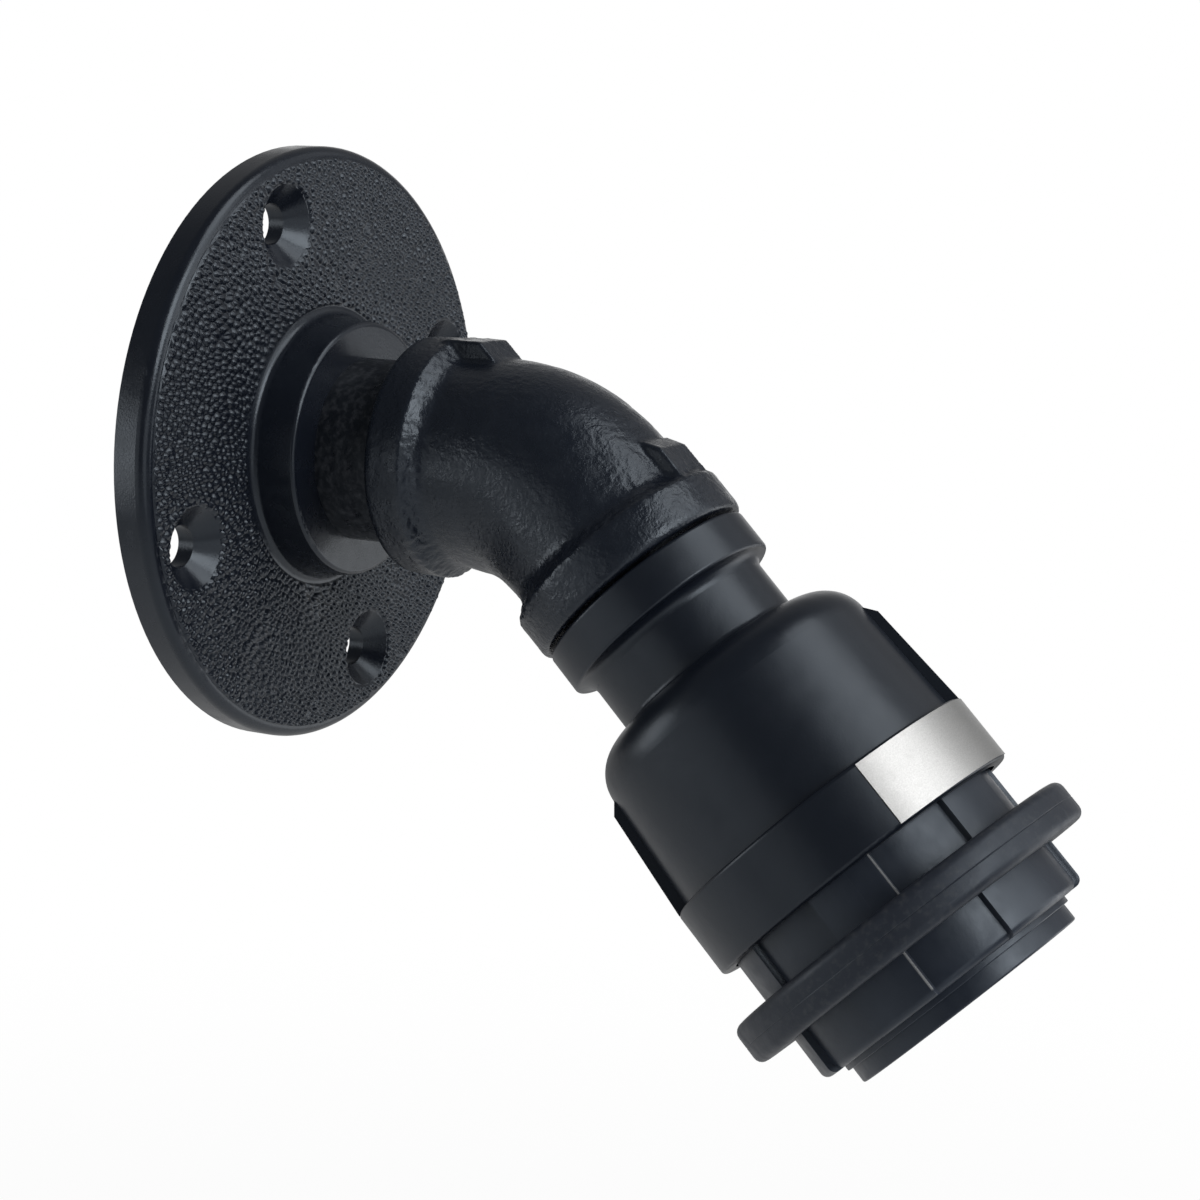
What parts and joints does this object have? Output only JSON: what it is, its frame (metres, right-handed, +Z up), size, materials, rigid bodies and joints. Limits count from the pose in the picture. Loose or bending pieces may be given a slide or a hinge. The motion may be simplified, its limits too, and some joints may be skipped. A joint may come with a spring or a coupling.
{
  "type": "pipe wall light",
  "caption": "Black pipe-fitting wall light: round floor flange, nipple, cast elbow and bell-shaped cup holding a screw lampholder with a shade ring.",
  "frame": {"origin": "centre of the screw circle on the flange's wall face", "axes": "+Y into the wall, -Y out of the wall into the room, +Z up, +X to the right seen from the room; the lamp axis points down and out at 45 degrees in the YZ plane"},
  "size_m": [0.085, 0.1185, 0.119],
  "materials": {
    "flange_cast": "black paint over pebbled cast iron, satin",
    "pipe_black": "smooth black paint, satin",
    "elbow_cast": "thick gloss black paint over lumpy cast iron",
    "cup_satin": "satin black paint over smooth casting",
    "holder_black": "moulded black phenolic, satin",
    "ring_black": "moulded black phenolic, satin",
    "foil": "brushed self-adhesive foil",
    "zinc": "zinc plated",
    "brass": "rolled brass strip and sheet",
    "nickel_brass": "nickel plated brass",
    "porcelain": "white glazed porcelain",
    "lead_sheath": "black sheath",
    "core_brown": "brown insulation",
    "core_blue": "blue insulation",
    "core_earth": "green insulation with yellow stripe"
  },
  "bodies": {
    "wall_mount": {"wall_flange": "flange_cast", "wall_nipple": "pipe_black"},
    "elbow_arm": {"elbow": "elbow_cast", "cup_nipple": "pipe_black", "internal_lead": "lead_sheath"},
    "lamp_head": {"lamp_cup": "cup_satin", "adapter_bush": "zinc", "lamp_tube": "zinc", "lock_nuts": "zinc", "earth_tag": "nickel_brass", "holder_cap": "holder_black", "cap_grub_screw": "zinc", "contact_block": "porcelain", "live_terminal": "brass", "neutral_terminal": "brass", "terminal_screws": "zinc", "side_contact": "brass", "screw_shell": "nickel_brass", "holder_skirt": "holder_black", "foil_label": "foil", "live_core": "core_brown", "neutral_core": "core_blue", "earth_core": "core_earth"},
    "ring": {"shade_ring": "ring_black"},
    "contact": {"centre_contact": "brass"}
  },
  "joints": [
    {"name": "elbow_swivel", "type": "hinge", "parent": "wall_mount", "child": "elbow_arm", "pos_m": [0, -0.027, 0], "axis": [0, -1, 0], "range_deg": [-90, 90]},
    {"name": "cup_turn", "type": "hinge", "parent": "elbow_arm", "child": "lamp_head", "pos_m": [0, -0.06039, -0.01838], "axis": [0, -0.7071, -0.7071], "range_deg": [-90, 90]},
    {"name": "ring_travel", "type": "slide", "parent": "lamp_head", "child": "ring", "axis": [0, -0.7071, -0.7071], "range_m": [-0.006, 0.0055]},
    {"name": "contact_press", "type": "hinge", "parent": "lamp_head", "child": "contact", "pos_m": [0, -0.09143, -0.04306], "axis": [1, 0, 0], "range_deg": [0, 10], "stiffness_Nm_per_rad": 0.06}
  ]
}
